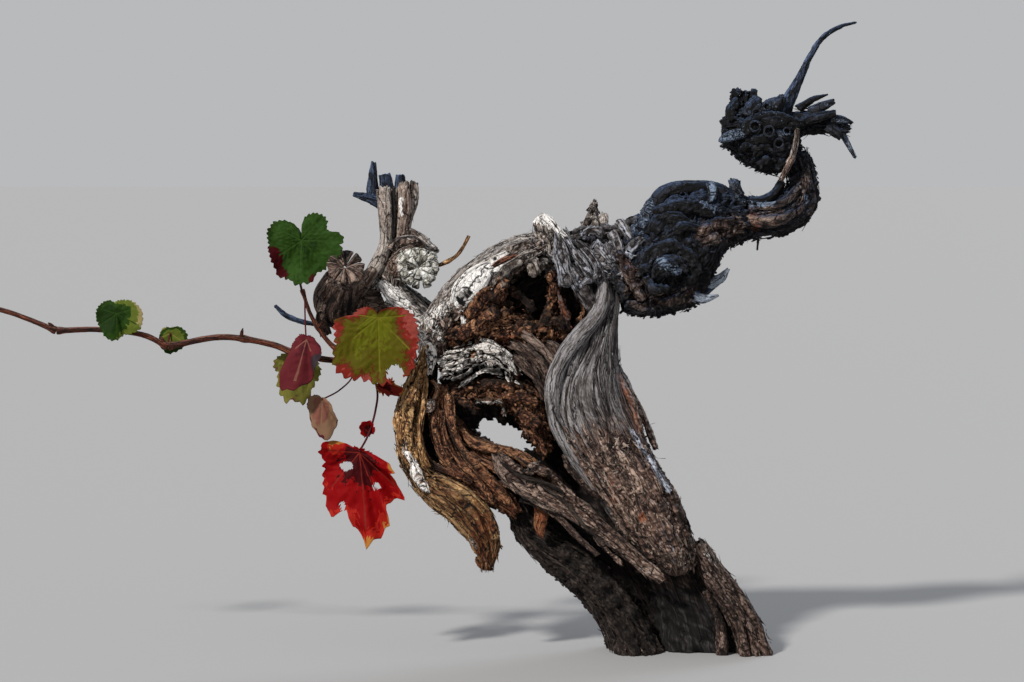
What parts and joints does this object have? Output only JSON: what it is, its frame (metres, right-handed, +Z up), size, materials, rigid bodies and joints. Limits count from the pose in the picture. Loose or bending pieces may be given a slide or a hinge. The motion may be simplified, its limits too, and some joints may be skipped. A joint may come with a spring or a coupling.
{
  "type": "old grapevine",
  "caption": "Very old hollow bush-trained grapevine with leaning trunk, peeling straps of rotten wood, a burled arm, a short arm, one long cane and autumn leaves.",
  "frame": {"origin": "in the flat ground-level cut under the trunk", "axes": "+Z up; +X to the right, from the tip of the long cane towards the burled arm; +Y away from someone facing the hollow side"},
  "size_m": [0.9995, 0.1467, 0.6331],
  "materials": {
    "heartwood": "weathered grey long-grained wood",
    "old_bark": "brown, flaky, deeply cracked bark",
    "rotten_wood": "red-brown fibrous rotten wood",
    "bleached_wood": "sun-bleached wood with dark cracks",
    "dark_bark": "nearly black tangled bark with blue-grey ridges",
    "cut_wood": "old crackled pruning cut",
    "spur_wood": "slate-blue dead twig",
    "cane_bark": "smooth ripened one-year cane",
    "leaf_turning": "olive-green leaf with a crimson rim",
    "leaf_red": "vivid red withered leaf",
    "leaf_green": "green leaf with dark red edges",
    "leaf_pink": "dusty pink folded leaf",
    "leaf_yellow": "pale yellow-green leaf",
    "leaf_brown": "dry beige-pink leaf"
  },
  "bodies": {
    "root": {"trunk": "heartwood", "root_right": "old_bark", "root_left": "old_bark", "root_back": "old_bark", "hollow_foot": "old_bark", "hollow_wall": "old_bark", "crown": "dark_bark", "crown_peak_left": "bleached_wood", "crown_peak_right": "bleached_wood", "crown_rib": "bleached_wood", "right_arm": "dark_bark", "right_elbow": "dark_bark", "burl": "dark_bark", "burl_stub": "dark_bark", "burl_spur": "dark_bark", "curved_spur": "spur_wood", "hanging_spur": "spur_wood", "neck_twig": "old_bark", "arm_knob": "spur_wood", "splinter_upper": "spur_wood", "splinter_lower": "spur_wood", "shoulder": "bleached_wood", "rotten_upper": "rotten_wood", "rotten_lower": "rotten_wood", "bleached_arch": "bleached_wood", "layered_plate": "old_bark", "hole_lip": "rotten_wood", "flake": "rotten_wood", "strap_upper": "rotten_wood", "strap_lower": "rotten_wood", "inner_strap": "rotten_wood", "ribbon": "old_bark", "left_arm": "bleached_wood", "left_upright": "heartwood", "sawn_knob": "old_bark", "cut_stub": "cut_wood", "bark_chip": "cut_wood", "tip_blue": "spur_wood", "tip_side": "spur_wood", "tip_middle": "spur_wood", "tip_right": "spur_wood", "dead_shoot": "cane_bark", "cane_1": "cane_bark", "cane_2": "cane_bark", "cane_3": "cane_bark", "cane_4": "cane_bark", "cane_5": "cane_bark", "side_shoot": "cane_bark", "dead_twig": "spur_wood", "leaf_large": "leaf_turning", "leaf_red": "leaf_red", "leaf_green": "leaf_green", "leaf_pink": "leaf_pink", "leaf_yellow": "leaf_yellow", "leaf_brown": "leaf_brown", "leaf_withered": "leaf_brown", "leaf_cane_inner": "leaf_green", "leaf_cane_outer": "leaf_green", "leaf_cane_tip": "leaf_green"}
  },
  "joints": []
}
